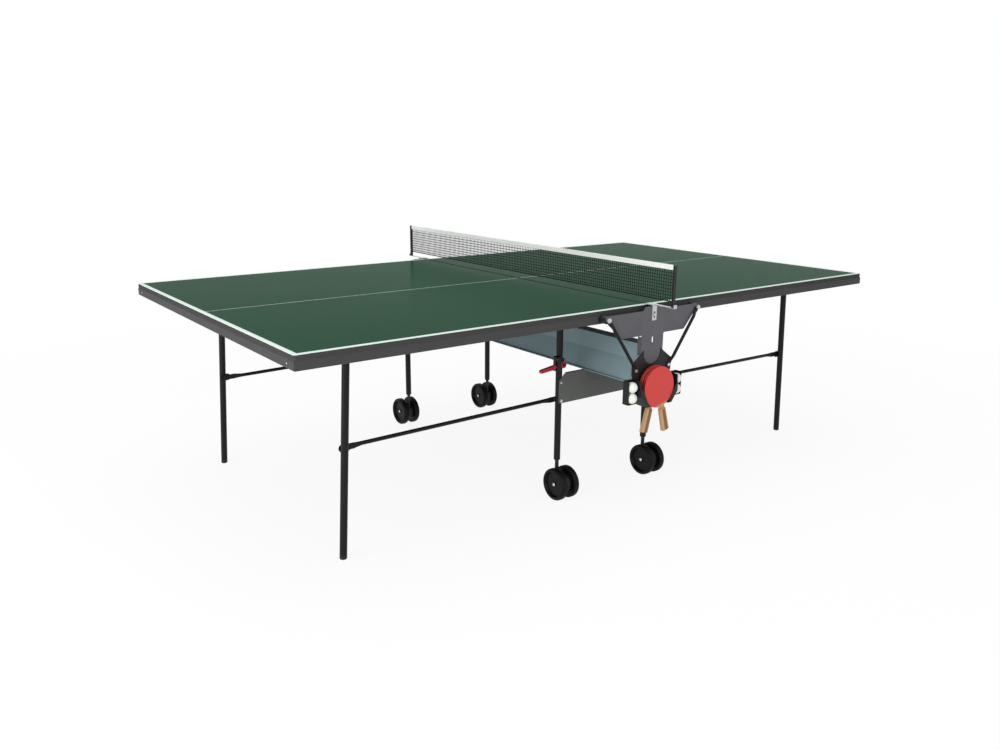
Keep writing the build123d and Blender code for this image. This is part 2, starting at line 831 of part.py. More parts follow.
# Side panels with folded top and bottom edges
with BuildPart() as side_panel:
    with BuildSketch(Plane.XZ.offset(leg_outer)) as panel_plan:
        with BuildLine():
            Polyline(
                (-panel_half, panel_bottom),
                (-panel_half, panel_top - panel_cut),
                (-panel_half + panel_cut, panel_top),
                (panel_half - panel_cut, panel_top),
                (panel_half, panel_top - panel_cut),
                (panel_half, panel_bottom),
                close=True,
            )
        make_face()
        fillet(panel_plan.vertices(), panel_round)
        with Locations((-wheel_leg_x, link_pin_z), (wheel_leg_x, link_pin_z)):
            Circle(link_pin_d / 2 + run_gap, mode=Mode.SUBTRACT)
    extrude(amount=panel_sheet)
    for flange_z in (panel_top - panel_sheet / 2, panel_bottom + panel_sheet / 2):
        with BuildSketch(Plane.XZ.offset(leg_outer)):
            with Locations((0, flange_z)):
                Rectangle(2 * panel_flange_half, panel_sheet)
        extrude(amount=-panel_flange)
for side, sy in sides:
    with BuildPart() as side_panel_copy:
        add(copy_to(side_panel.part, -1, sy))
    save(side_panel_copy.part, "side_panel_" + side)

# Net clamps: bent strip with a bolted tab, a lug beside the board's edge and an arm for the net post
arm_top_z = clamp_arm_z + clamp_sheet
arm_mid_z = clamp_arm_z + clamp_sheet / 2
with BuildPart() as net_clamp:
    with BuildSketch(Plane.YZ):
        with Locations((-post_face - clamp_sheet / 2, (clamp_tab_low + arm_top_z) / 2)):
            Rectangle(clamp_sheet, arm_top_z - clamp_tab_low)
    extrude(amount=clamp_w / 2, both=True)
    with BuildSketch(Plane.YZ):
        with Locations((-(post_face + clamp_end_y) / 2, arm_mid_z)):
            Rectangle(clamp_end_y - post_face, clamp_sheet)
        with Locations((-clamp_end_y + clamp_sheet / 2, arm_mid_z + clamp_upturn / 2)):
            Rectangle(clamp_sheet, clamp_sheet + clamp_upturn)
    extrude(amount=clamp_arm_w / 2, both=True)
    with BuildSketch(Plane.YZ):
        with Locations((-(clamp_tongue_y + post_face) / 2, arm_mid_z)):
            Rectangle(post_face - clamp_tongue_y, clamp_sheet)
    extrude(amount=clamp_tongue_w / 2, both=True)
    with BuildSketch(Plane.XZ.offset(post_face)):
        with Locations((0, clamp_bolt_z)):
            SlotOverall(clamp_slot_h, brace_bolt_d + 2 * run_gap, rotation=90)
    extrude(amount=2 * clamp_sheet, mode=Mode.SUBTRACT)
for side, sy in sides:
    with BuildPart() as net_clamp_copy:
        add(copy_to(net_clamp.part, -1, sy))
    save(net_clamp_copy.part, "net_clamp_" + side)

# Net posts
with BuildPart() as net_post:
    with BuildSketch(Plane.XY.offset(arm_top_z)):
        with Locations((0, -net_post_y)):
            RectangleRounded(net_post_w, net_post_t, net_post_round)
    extrude(amount=net_top - arm_top_z)
    chamfer(net_post.faces().sort_by(Axis.Z)[-1].edges(), net_post_tip)
with BuildPart() as net_posts:
    for side, sy in sides:
        add(copy_to(net_post.part, -1, sy))
save(net_posts.part, "net_posts")

# Net mesh: one holed sheet, and the folded tape along its top
net_half = net_post_y - net_post_t / 2
mesh_top = net_top - tape_height
mesh_height = mesh_top - net_bottom
column_pitch = (2 * net_half - 2 * net_border + net_cord) / net_columns
row_pitch = (mesh_height - net_border) / net_rows
mesh_gaps = []
for column in range(net_columns):
    gap_y = (column - (net_columns - 1) / 2) * column_pitch
    for row in range(net_rows):
        gap_z = net_bottom + net_border + (row + 0.5) * row_pitch - net_cord / 2
        mesh_gaps.append(
            Wire.make_rect(
                column_pitch - net_cord,
                row_pitch - net_cord,
                Plane(origin=(-net_thick / 2, gap_y, gap_z), x_dir=(0, 1, 0), z_dir=(1, 0, 0)),
            )
        )
mesh_edge = Wire.make_rect(
    2 * net_half,
    mesh_height,
    Plane(origin=(-net_thick / 2, 0, (mesh_top + net_bottom) / 2), x_dir=(0, 1, 0), z_dir=(1, 0, 0)),
)
with BuildPart() as net_mesh:
    extrude(Face(mesh_edge, mesh_gaps), amount=net_thick, dir=(1, 0, 0), clean=False)
save(net_mesh.part, "net_mesh")
with BuildPart() as net_tape:
    with BuildSketch(Plane.XZ.offset(net_half)) as tape_section:
        with Locations((0, net_top - tape_height / 2)):
            Rectangle(tape_thick, tape_height)
        fillet(tape_section.vertices().group_by(Axis.Z)[-1], tape_thick / 2 - 0.2)
    extrude(amount=-2 * net_half)
save(net_tape.part, "net_tape")

# Lock lever housings, saddled on a wheel leg, with the lever's pin
plate_face = leg_outer + housing_plate
hub_back = plate_face + run_gap
hub_face = hub_back + lever_hub_w
with BuildPart() as housing:
    with BuildSketch(Plane.XZ.offset(leg_y)):
        with Locations((-(housing_left + housing_right) / 2, (housing_bottom + housing_top) / 2)):
            Rectangle(housing_left - housing_right, housing_top - housing_bottom)
    extrude(amount=hub_face + run_gap + housing_front - leg_y)
    with BuildSketch(Plane.XZ.offset(leg_outer)):
        with Locations(
            (-(housing_left + wheel_leg_x - leg_r + 0.5) / 2, (housing_plate_low + housing_plate_top) / 2)
        ):
            Rectangle(housing_left - wheel_leg_x + leg_r - 0.5, housing_plate_top - housing_plate_low)
    extrude(amount=housing_plate)
    fillet(housing.edges().filter_by(Axis.Y).group_by(Axis.Z)[-1], housing_round)
    with BuildSketch(Plane.XZ.offset(hub_back - housing_slot_gap)):
        with Locations((-(housing_left + housing_right) / 2, (housing_slot_low + housing_slot_top) / 2)):
            Rectangle(housing_left - housing_right + 1, housing_slot_top - housing_slot_low)
    extrude(amount=lever_arm_t + housing_slot_side + housing_slot_gap, mode=Mode.SUBTRACT)
    with BuildSketch(Plane.XZ.offset(leg_outer)):
        with Locations((-wheel_leg_x, lever_z)):
            Circle(lever_pin_d / 2)
    extrude(amount=hub_face + run_gap - leg_outer)
    with BuildSketch(Plane.XZ.offset(hub_face + run_gap)):
        with Locations((-wheel_leg_x, lever_z)):
            Circle(lever_pin_d / 2 + lever_washer)
    extrude(amount=lever_washer)
    with Locations((-wheel_leg_x, -leg_y, (housing_bottom + housing_top) / 2)):
        Cylinder(leg_r, housing_top - housing_bottom + 2, mode=Mode.SUBTRACT)
with BuildPart() as lock_housings:
    for ex, sy in ((-1, -1), (1, 1)):
        add(copy_to(housing.part, ex, sy))
save(lock_housings.part, "lock_housings")

# Lock levers: round hub on the pin, arm through the housing, grip
droop = math.radians(lever_droop)
lever_frame = Plane(
    origin=(-wheel_leg_x, -hub_back, lever_z),
    x_dir=(-math.cos(droop), 0, -math.sin(droop)),
    z_dir=(0, -1, 0),
)
with BuildPart() as grip:
    with BuildSketch(lever_frame.offset(lever_arm_gap + lever_arm_t / 2 - lever_grip_w / 2)):
        with Locations((lever_grip_from, 0)):
            Circle(lever_grip_r)
        with Locations((lever_grip_to, 0)):
            Circle(lever_tip_r)
        make_hull()
    extrude(amount=lever_grip_w)
    fillet(grip.edges(), lever_grip_round)
with BuildPart() as lever:
    with BuildSketch(lever_frame):
        Circle(lever_hub_d / 2)
    extrude(amount=lever_hub_w)
    with BuildSketch(lever_frame.offset(lever_arm_gap)):
        with Locations((lever_grip_from / 2, 0)):
            Rectangle(lever_grip_from, lever_arm_h)
    extrude(amount=lever_arm_t)
    add(grip.part)
    with BuildSketch(lever_frame.offset(-1)):
        Circle(lever_pin_d / 2 + stem_fit)
    extrude(amount=lever_hub_w + 2, mode=Mode.SUBTRACT)
for name, ex, sy in (("lock_lever_left", -1, -1), ("lock_lever_right", 1, 1)):
    with BuildPart() as lever_copy:
        add(copy_to(lever.part, ex, sy))
    save(lever_copy.part, name)

# Rackets in the holder, handles down and crossed
plate_front = post_face + holder_sheet
# a racket that is lifted out passes in front of the braces
back_mid = eye_back + brace_d + racket_back_gap + rubber_thick + blade_thick / 2
front_mid = back_mid + grip_thick + racket_gap
tilt = math.radians(racket_tilt)
for name, mid, lean in (("racket_back", back_mid, -1), ("racket_front", front_mid, 1)):
    racket_frame = Plane(
        origin=(0, -mid, racket_z),
        x_dir=(math.cos(tilt), 0, lean * math.sin(tilt)),
        z_dir=(0, -1, 0),
    )
    with BuildPart() as racket:
        with BuildSketch(racket_frame):
            Ellipse(blade_half_w, blade_half_h)
            with Locations((0, -(grip_end + rubber_cut) / 2)):
                Rectangle(core_w, grip_end - rubber_cut)
        extrude(amount=blade_thick / 2, both=True)
        with BuildSketch(racket_frame):
            with BuildLine():
                Polyline(
                    (-grip_neck_w / 2, -grip_start),
                    (grip_neck_w / 2, -grip_start),
                    (grip_end_w / 2, -grip_end),
                    (-grip_end_w / 2, -grip_end),
                    close=True,
                )
            make_face()
        extrude(amount=grip_thick / 2, both=True)
        grip_edges = racket.edges().filter_by(lambda e: abs(abs(e.center().Y + mid) - grip_thick / 2) < 0.01)
        fillet(grip_edges, grip_round)
    save(racket.part, name + "_wood")
    with BuildPart() as rubber:
        for sign in (-1, 1):
            with BuildSketch(racket_frame.offset(sign * blade_thick / 2)):
                Ellipse(blade_half_w, blade_half_h)
                with Locations((0, -blade_half_h - rubber_cut)):
                    Rectangle(2 * blade_half_w, 2 * blade_half_h, mode=Mode.SUBTRACT)
            extrude(amount=sign * rubber_thick)
    save(rubber.part, name + "_rubber")

# Lowest points of a tilted blade beyond the handle slot set the height of the holder's seat
blade_low = 0.0
for step in range(720):
    turn = math.radians(step / 2)
    bx = blade_half_w * math.cos(turn)
    bz = blade_half_h * math.sin(turn)
    if abs(bx * math.cos(tilt) - bz * math.sin(tilt)) > holder_slot_half:
        blade_low = min(blade_low, bx * math.sin(tilt) + bz * math.cos(tilt))
seat_z = racket_z + blade_low - run_gap

# Racket holder: back plate, pocket walls, seat, lips and two ball troughs
holder_depth = front_mid + blade_thick / 2 + rubber_thick + holder_front_gap - plate_front
wall_in = holder_half - holder_sheet
ball_x = holder_half + ball_fit + ball_d / 2
trough_out = ball_x + ball_d / 2 + ball_fit
trough_back = post_back + trough_wall
ball_y = trough_back + ball_fit + ball_d / 2
ball_z = holder_low + trough_wall + ball_fit + ball_d / 2
trough_front = ball_y + trough_lip
trough_mid = (wall_in + trough_out + trough_wall) / 2
foot_z = holder_low + holder_foot_rise
foot_x = holder_half - holder_foot_cut
holder_points = [
    (holder_horn_half, holder_top),
    (wing_half, wing_top + holder_horn_rise),
    (wing_half, wing_low),
    (holder_half, trough_top),
    (holder_half, foot_z),
    (foot_x, seat_z - holder_sheet),
]
with BuildPart() as racket_holder:
    with BuildSketch(Plane.XZ.offset(post_face)) as holder_plan:
        with BuildLine():
            Polyline(*holder_points, *[(-x, z) for x, z in reversed(holder_points)])
            ThreePointArc(
                (-holder_horn_half, holder_top),
                (0, holder_notch_z),
                (holder_horn_half, holder_top),
            )
        make_face()
        with Locations((-brace_foot_x, brace_foot_z), (brace_foot_x, brace_foot_z)):
            Circle(brace_bolt_d / 2 + run_gap, mode=Mode.SUBTRACT)
    extrude(amount=holder_sheet)
    for sx in (-1, 1):
        with BuildSketch(Plane.XZ.offset(plate_front)):
            with BuildLine():
                Polyline(
                    (sx * holder_half, trough_top),
                    (sx * holder_half, foot_z),
                    (sx * foot_x, seat_z - holder_sheet),
                    (sx * holder_slot_half, seat_z - holder_sheet),
                    (sx * holder_slot_half, seat_z),
                    (sx * (foot_x - holder_sheet / 2), seat_z),
                    (sx * wall_in, foot_z + holder_sheet / 2),
                    (sx * wall_in, trough_top),
                    close=True,
                )
            make_face()
        extrude(amount=holder_depth)
        with BuildSketch(Plane.XZ.offset(plate_front + holder_depth)):
            with BuildLine():
                Polyline(
                    (sx * holder_half, holder_low + holder_lip_rise),
                    (sx * holder_half, foot_z),
                    (sx * foot_x, seat_z - holder_sheet),
                    (sx * (foot_x - holder_lip), seat_z - holder_sheet),
                    (sx * (wall_in - holder_lip), foot_z + holder_lip),
                    close=True,
                )
            make_face()
        extrude(amount=holder_sheet)
        with BuildSketch(Plane.XY.offset(holder_low)):
            with Locations((sx * trough_mid, -(post_back + trough_front) / 2)):
                Rectangle(trough_out + trough_wall - wall_in, trough_front - post_back)
        extrude(amount=trough_wall)
        with BuildSketch(Plane.XY.offset(holder_low)):
            with Locations((sx * trough_mid, -(post_back + trough_back) / 2)):
                Rectangle(trough_out + trough_wall - wall_in, trough_wall)
            with Locations((sx * (trough_out + trough_wall / 2), -(post_back + trough_front) / 2)):
                Rectangle(trough_wall, trough_front - post_back)
            with Locations((sx * (wall_in + holder_half) / 2, -(post_back + plate_front) / 2)):
                Rectangle(holder_half - wall_in, plate_front - post_back)
        extrude(amount=trough_top - holder_low)
save(racket_holder.part, "racket_holder")

# Balls, two in each trough
for number, sx, level in ((1, -1, 0), (2, -1, 1), (3, 1, 0), (4, 1, 1)):
    with BuildPart() as ball:
        with Locations((sx * ball_x, -ball_y, ball_z + level * (ball_d + ball_fit))):
            Sphere(ball_d / 2)
    save(ball.part, "ball_" + str(number))

print("fold pivot", (-pivot_x, pivot_z), "leg hinge", (-leg_hinge_x, leg_hinge_z))
print("link pins", link_low, link_top, "bar plane", link_mid)
print("rackets at", back_mid, front_mid, "seat", seat_z, "ball", ball_x, ball_y, ball_z)
print("castor axle", axle_y, "lever hub", hub_back, hub_face)
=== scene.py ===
import math

import bmesh
import bpy
from bpy.props import FloatProperty, FloatVectorProperty, IntProperty, PointerProperty
from mathutils import Matrix, Vector


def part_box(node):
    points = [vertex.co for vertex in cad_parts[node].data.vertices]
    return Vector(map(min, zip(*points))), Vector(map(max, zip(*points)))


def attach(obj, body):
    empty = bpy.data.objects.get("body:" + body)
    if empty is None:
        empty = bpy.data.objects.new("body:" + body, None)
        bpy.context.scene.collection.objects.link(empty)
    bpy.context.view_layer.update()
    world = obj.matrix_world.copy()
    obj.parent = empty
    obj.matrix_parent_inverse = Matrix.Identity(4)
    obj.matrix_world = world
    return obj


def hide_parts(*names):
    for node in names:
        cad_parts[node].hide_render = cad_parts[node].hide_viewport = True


bl_info = {
    "name": "Ping Pong Table",
    "version": (1, 0, 0),
    "blender": (4, 5, 0),
    "location": "View3D > Sidebar > Ping Pong Table",
    "description": "Finishes a folding ping pong table: boards, frame, net, rackets and a photo stage",
    "category": "Object",
}

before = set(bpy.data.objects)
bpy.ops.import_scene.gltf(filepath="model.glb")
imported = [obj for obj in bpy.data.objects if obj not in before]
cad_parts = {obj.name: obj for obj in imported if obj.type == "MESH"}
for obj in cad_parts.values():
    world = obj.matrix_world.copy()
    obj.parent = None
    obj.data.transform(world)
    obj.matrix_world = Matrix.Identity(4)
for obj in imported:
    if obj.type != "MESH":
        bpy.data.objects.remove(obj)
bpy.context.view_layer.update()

ENDS = ("left", "right")
SIDES = ("near", "far")
CORNERS = [side + "_" + end for side in SIDES for end in ENDS]
BOARD_LOW, BOARD_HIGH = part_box("board_left")
MESH_LOW, MESH_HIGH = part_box("net_mesh")
TAPE_LOW, TAPE_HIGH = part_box("net_tape")

# Boards: width and darkness of the painted gap shade at the split, and the normal's Z that marks top and back
# faces
SPLIT_EDGE = 0.0012
PAINTED_GAP_SHADE = 0.12
TOP_FACING = 0.3
BACK_FACING = -0.5

# Powder coat: pointiness where the painted edge highlight starts and is full, how far it goes, and how much
# it lightens
HIGHLIGHT_FROM = 0.53
HIGHLIGHT_TO = 0.62
HIGHLIGHT_MOST = 0.35
HIGHLIGHT_LIGHTEN = 1.9

# Wheels: radius of the ringed face, its rings in radians a metre, roughness of face and tread
WHEEL_FACE = 0.050
RING_RATE = 2100.0
FACE_ROUGH = 0.34
TREAD_ROUGH = 0.52

# Axle caps' seat, measured from the middle of a wheel set
AXLE_CAP_SEAT = 0.0365

# Rackets: middle of both blades in X and Z, and their lean
BLADE_MIDDLE = (0.0, 0.0, 0.465)
RACKET_LEAN = math.radians(15.0)

# Racket wood: stripe and edge tape measured from the blade's middle, the Y of a rim's normal, grain and plies
STRIPE_TOP = -0.0885
STRIPE_HALF = 0.0072
EDGE_TAPE_FOOT = -0.066
RIM_FACING = 0.5
GRAIN_SCALE = (260.0, 260.0, 9.0)
PLY_SCALE = 180.0
PLY_DEPTH = 0.25
PLY_SHADE = 0.6

# Net mesh: how far a cord sways out of plane, and the steps of that sway along and up the net
CORD_SWAY = 0.0002
SWAY_ALONG = 1.7
SWAY_UP = 2.3

# Foot cord: height over the mesh's lower edge, weave through the meshes, its step, and the tube's divisions
FOOT_RISE = 0.002
FOOT_WEAVE = 0.0007
FOOT_WEAVE_STEP = 0.9 * math.pi
FOOT_SIDES = 10
FOOT_SPANS = 240

# Tape: thickness, cut added for the fold, inset and height of the hem's points, the fold's steps, and puckers
TAPE_SKIN = 0.0007
HEM_PROFILE = ((0.0, 0.0), (0.0, 0.003), (0.0003, 0.0034), (0.0001, 0.004))
FOLD_STEPS = 9
TAPE_PUCKER = 0.06
TAPE_SPANS = 260

# Balls: number and divisions, half width and radius of the sunken seam as shares of the radius, and turn
BALL_COUNT = 4
BALL_SEGMENTS = 48
BALL_RINGS = 33
SEAM_HALF = 0.06
SEAM_RADIUS = 0.996
BALL_TURN = 0.7
BALL_AXIS = (0.6, 0.3, 1.0)

# Screw heads and axle caps: size and rise of each ring, as shares of the radius
SCREW_SIDES = 20
SCREW_PROFILE = ((1.0, 0.0), (0.98, 0.22), (0.82, 0.42), (0.5, 0.55))
RECESS_SIZE = 0.34
RECESS_RIM = 0.52
RECESS_SLOT = 0.30
CAP_SIDES = 24
CAP_PROFILE = ((1.0, 0.0), (1.0, 0.12), (0.86, 0.2), (0.78, 0.36), (0.5, 0.52))
CAP_TIP = 0.58

# Places of the screws on rails and panels
RAIL_SCREW_INSET = 0.05
RAIL_SCREW_SINK = 0.002
PANEL_SCREW_INSET = 0.010
PANEL_SCREW_DROP = 0.034

# Stage: floor, world, lamps with their name, place, size and power, and camera
FLOOR_WHITE = (0.92, 0.92, 0.92, 1.0)
FLOOR_GLOW_NEAR = 0.9
FLOOR_GLOW_FAR = 1.0
WORLD_LIGHT = 0.62
LAMPS = (
    ("key_left", (-4.6, -1.2, 1.5), 3.0, 120.0),
    ("fill_front", (-0.8, -5.0, 1.6), 4.0, 60.0),
    ("top_soft", (0.3, 0.4, 4.6), 5.0, 75.0),
)
LAMP_AIM = (0.0, 0.0, 0.5)
SENSOR_WIDTH = 36.0
CLIP_END = 200.0

# Where most of a noise texture's values lie
NOISE_LOW = 0.3
NOISE_HIGH = 0.7


def srgb(value):
    """One 8-bit sRGB channel as a linear value."""
    part = value / 255
    return part / 12.92 if part <= 0.04045 else ((part + 0.055) / 1.055) ** 2.4


def colour_setting(name, description, default):
    return FloatVectorProperty(
        name=name,
        description=description,
        subtype="COLOR",
        size=3,
        min=0.0,
        max=1.0,
        default=[srgb(value) for value in default],
    )


def length_setting(name, description, default):
    return FloatProperty(name=name, description=description, default=default, min=0.0, unit="LENGTH")


def angle_setting(name, description, degrees):
    return FloatProperty(
        name=name, description=description, default=math.radians(degrees), subtype="ANGLE"
    )


class TableColours(bpy.types.PropertyGroup):
    """Colours of the finishes"""

    playing_green: colour_setting("Playing green", "Paint of the playing surface", (41, 74, 56))
    line_white: colour_setting("Line white", "Paint of the lines", (216, 230, 224))
    board_edge: colour_setting("Board edge", "Edge band of the half boards", (66, 65, 66))
    board_back: colour_setting("Board back", "Sealed underside of the half boards", (52, 56, 52))
    rail_grey: colour_setting("Rail grey", "Powder coat of the rails", (60, 59, 60))
    tube_black: colour_setting("Tube black", "Powder coat of legs, links and braces", (17, 18, 18))
    post_grey: colour_setting("Post grey", "Powder coat of the T-posts", (76, 75, 79))
    beam_grey: colour_setting("Beam grey", "Powder coat of the cross beam", (120, 139, 144))
    panel_grey: colour_setting("Panel grey", "Powder coat of the side panels", (72, 74, 72))
    plastic_black: colour_setting("Plastic black", "Moulded fittings", (17, 17, 18))
    wheel_grey: colour_setting("Wheel grey", "Moulded wheels", (13, 13, 14))
    lever_red: colour_setting("Lever red", "Moulded lock levers", (150, 30, 48))
    zinc: colour_setting("Zinc", "Plated bolts and net clamps", (196, 199, 202))
    net_green: colour_setting("Net green", "Twisted cord of the net", (16, 36, 27))
    tape_white: colour_setting("Tape white", "Woven tape on the net", (232, 234, 230))
    rubber_red: colour_setting("Rubber red", "Racket rubber", (200, 66, 62))
    blade_wood: colour_setting("Blade wood", "Plywood of blade and grip", (190, 152, 108))
    grip_stripe: colour_setting("Grip stripe", "Dark veneer on the grip", (128, 88, 56))
    edge_tape: colour_setting("Edge tape", "Tape round the racket blades", (138, 40, 38))
    ball_white: colour_setting("Ball white", "Celluloid balls", (228, 231, 225))


class LineSizes(bpy.types.PropertyGroup):
    """Painted lines"""

    border: length_setting("Border line", "Width of the edge lines", 0.017)
    centre: length_setting("Centre line", "Width of the centre line", 0.003)


class NetSizes(bpy.types.PropertyGroup):
    """Net"""

    columns: IntProperty(name="Columns", description="Mesh squares along the net", default=160, min=2)
    rows: IntProperty(name="Rows", description="Mesh squares up the net", default=10, min=2)
    cord: length_setting("Cord", "Width of a net cord", 0.0026)
    cord_thick: length_setting("Cord thickness", "Thickness of a net cord", 0.0011)
    foot_cord: length_setting("Foot cord", "Radius of the cord along the foot", 0.0021)


class FastenerSizes(bpy.types.PropertyGroup):
    """Screws and caps"""

    screw: length_setting("Screw head", "Radius of a screw head", 0.0045)
    axle_cap: length_setting("Axle cap", "Radius of an axle cap", 0.0065)


class StageSizes(bpy.types.PropertyGroup):
    """Floor, light and camera"""

    floor: length_setting("Floor", "Width of the floor", 60.0)
    shadow_reach: length_setting(
        "Shadow reach", "How far from the middle the floor keeps its full shadow", 2.0
    )
    distance: length_setting("Camera distance", "Camera to its target", 3.813)
    azimuth: angle_setting("Azimuth", "Camera's turn about the table", -36.792)
    elevation: angle_setting("Elevation", "Camera's height above the horizon", 14.900)
    roll: angle_setting("Roll", "Camera's roll", 0.375)
    lens: FloatProperty(
        name="Lens", description="Focal length in millimetres", default=31.59, unit="CAMERA"
    )
    target: FloatVectorProperty(
        name="Target",
        description="Point in the middle of the picture",
        subtype="TRANSLATION",
        default=(-0.1026, -0.0077, 0.3457),
    )


def shade(value, factor):
    return [min(1.0, channel * factor) for channel in value]


class Graph:
    """Shorthand for a material's node tree."""

    def __init__(self, name):
        self.material = bpy.data.materials.new(name)
        self.material.use_nodes = True
        self.tree = self.material.node_tree
        self.shader = self.tree.nodes["Principled BSDF"]
        place = self.add("ShaderNodeTexCoord")
        self.at = place.outputs["Object"]
        self.normal = place.outputs["Normal"]

    def add(self, kind, **settings):
        made = self.tree.nodes.new(kind)
        for key, value in settings.items():
            setattr(made, key, value)
        return made

    def join(self, source, target):
        self.tree.links.new(source, target)

    def math(self, operation, first, second=None):
        made = self.add("ShaderNodeMath", operation=operation)
        for socket, value in zip(made.inputs, (first, second)):
            if value is None:
                continue
            if isinstance(value, (int, float)):
                socket.default_value = value
            else:
                self.join(value, socket)
        return made.outputs[0]

    def split(self, vector):
        """The X, Y and Z of a vector."""
        made = self.add("ShaderNodeSeparateXYZ")
        self.join(vector, made.inputs[0])
        return made.outputs

    def measured_from(self, centre):
        """Place on the object, measured from a point."""
        made = self.add("ShaderNodeVectorMath", operation="SUBTRACT")
        self.join(self.at, made.inputs[0])
        made.inputs[1].default_value = centre
        return made.outputs[0]

    def noise(self, scale, detail=3.0, vector=None):
        made = self.add("ShaderNodeTexNoise")
        made.inputs["Scale"].default_value = scale
        made.inputs["Detail"].default_value = detail
        self.join(vector or self.at, made.inputs["Vector"])
        return made.outputs["Fac"]

    def cells(self, scale, randomness=1.0):
        made = self.add("ShaderNodeTexVoronoi")
        made.inputs["Scale"].default_value = scale
        made.inputs["Randomness"].default_value = randomness
        self.join(self.at, made.inputs["Vector"])
        return made.outputs["Distance"]

    def bands(self, direction, scale, distortion=0.0):
        made = self.add("ShaderNodeTexWave", wave_type="BANDS", bands_direction=direction)
        made.inputs["Scale"].default_value = scale
        made.inputs["Distortion"].default_value = distortion
        self.join(self.at, made.inputs["Vector"])
        return made.outputs["Fac"]

    def mix(self, factor, first, second):
        made = self.add("ShaderNodeMix", data_type="RGBA")
        self.join(factor, made.inputs["Factor"])
        for socket, value in ((made.inputs["A"], first), (made.inputs["B"], second)):
            if isinstance(value, (tuple, list)):
                socket.default_value = (*value, 1.0)
            else:
                self.join(value, socket)
        return made.outputs["Result"]

    def spread(self, value, low, high, to_low, to_high):
        made = self.add("ShaderNodeMapRange")
        self.join(value, made.inputs["Value"])
        for key, number in zip(("From Min", "From Max", "To Min", "To Max"), (low, high, to_low, to_high)):
            made.inputs[key].default_value = number
        return made.outputs["Result"]

    def cloudy(self, value, darkest, lightest, scale, detail=3.0):
        """A colour that drifts between a darker and a lighter shade."""
        return self.mix(self.noise(scale, detail), shade(value, darkest), shade(value, lightest))

    def uneven(self, low, high, scale, detail=3.0):
        """A number that drifts between two values."""
        return self.spread(self.noise(scale, detail), NOISE_LOW, NOISE_HIGH, low, high)

    def bump(self, height, strength, distance, under=None):
        made = self.add("ShaderNodeBump")
        made.inputs["Strength"].default_value = strength
        made.inputs["Distance"].default_value = distance
        self.join(height, made.inputs["Height"])
        if under is not None:
            self.join(under, made.inputs["Normal"])
        return made.outputs["Normal"]

    def set(self, **sockets):
        for key, value in sockets.items():
            socket = self.shader.inputs[key.replace("_", " ")]
            if hasattr(value, "is_linked"):
                self.join(value, socket)
            else:
                socket.default_value = value


def powder_coat(name, value, rough=0.45, specular=0.35):
    """Sprayed coat on steel: slight orange peel, cloudy tone, sharp edges lightened as a painted highlight.
    """
    g = Graph(name)
    edge = g.add("ShaderNodeNewGeometry").outputs["Pointiness"]
    # Painted highlight: the colour on sharp edges is lightened, standing in for light catching the edges
    edge_highlight = g.spread(edge, HIGHLIGHT_FROM, HIGHLIGHT_TO, 0.0, HIGHLIGHT_MOST)
    g.set(
        Base_Color=g.mix(edge_highlight, g.cloudy(value, 0.90, 1.12, scale=14.0), shade(value, HIGHLIGHT_LIGHTEN)),
        Roughness=g.uneven(rough - 0.06, rough + 0.07, scale=45.0),
        Normal=g.bump(g.noise(620.0, detail=2.0), strength=0.10, distance=0.0004),
        Specular_IOR_Level=specular,
    )
    return g.material


def moulded_plastic(name, value, rough=0.5, grain=0.12, specular=0.35):
    """Moulded plastic with a fine leather-like spark texture."""
    g = Graph(name)
    g.set(
        Base_Color=g.cloudy(value, 0.85, 1.2, scale=30.0),
        Roughness=g.uneven(rough - 0.05, rough + 0.08, scale=80.0),
        Normal=g.bump(g.cells(900.0), strength=grain, distance=0.0003),
        Specular_IOR_Level=specular,
    )
    return g.material


def plated_steel(name, value):
    """Zinc plate: bright, with a faint spangle."""
    g = Graph(name)
    g.set(
        Base_Color=g.mix(g.cells(260.0), shade(value, 0.86), shade(value, 1.05)),
        Metallic=0.85,
        Roughness=g.uneven(0.28, 0.42, scale=120.0),
        Normal=g.bump(g.noise(500.0), strength=0.06, distance=0.0002),
    )
    return g.material


def board_paint(name, colours, lines):
    """Painted board: green face with white lines, dark edge band with painted shade where the halves meet,
    sealed back.
    """
    g = Graph(name)
    at = g.split(g.at)
    facing = g.split(g.normal)["Z"]
    along = g.math("ABSOLUTE", at["X"])
    across = g.math("ABSOLUTE", at["Y"])
    end_line = g.math("GREATER_THAN", along, -BOARD_LOW.x - lines.border)
    side_line = g.math("GREATER_THAN", across, BOARD_HIGH.y - lines.border)
    centre_line = g.math("LESS_THAN", across, lines.centre / 2)
    lined = g.math("MAXIMUM", g.math("MAXIMUM", end_line, side_line), centre_line)
    green = g.cloudy(colours.playing_green, 0.95, 1.05, scale=2.5, detail=4.0)
    face = g.mix(lined, green, list(colours.line_white))
    # Painted shade: the edge band turns almost black within SPLIT_EDGE of the split, standing in for the
    # shadow in the gap between the halves
    split_end = -BOARD_HIGH.x + SPLIT_EDGE
    in_painted_gap_shade = g.math("LESS_THAN", along, split_end)
    past_split = g.math("GREATER_THAN", along, split_end)
    band = g.cloudy(colours.board_edge, 0.9, 1.1, scale=40.0)
    band = g.mix(in_painted_gap_shade, band, shade(colours.board_edge, PAINTED_GAP_SHADE))
    sealed = g.cloudy(colours.board_back, 0.8, 1.2, scale=18.0, detail=6.0)
    top = g.math("MULTIPLY", g.math("GREATER_THAN", facing, TOP_FACING), past_split)
    back = g.math("LESS_THAN", facing, BACK_FACING)
    g.set(
        Base_Color=g.mix(back, g.mix(top, band, face), sealed),
        Roughness=g.uneven(0.20, 0.26, scale=60.0, detail=4.0),
        Normal=g.bump(g.noise(300.0, detail=2.0), strength=0.012, distance=0.0002),
        Specular_IOR_Level=0.0012,
    )
    return g.material


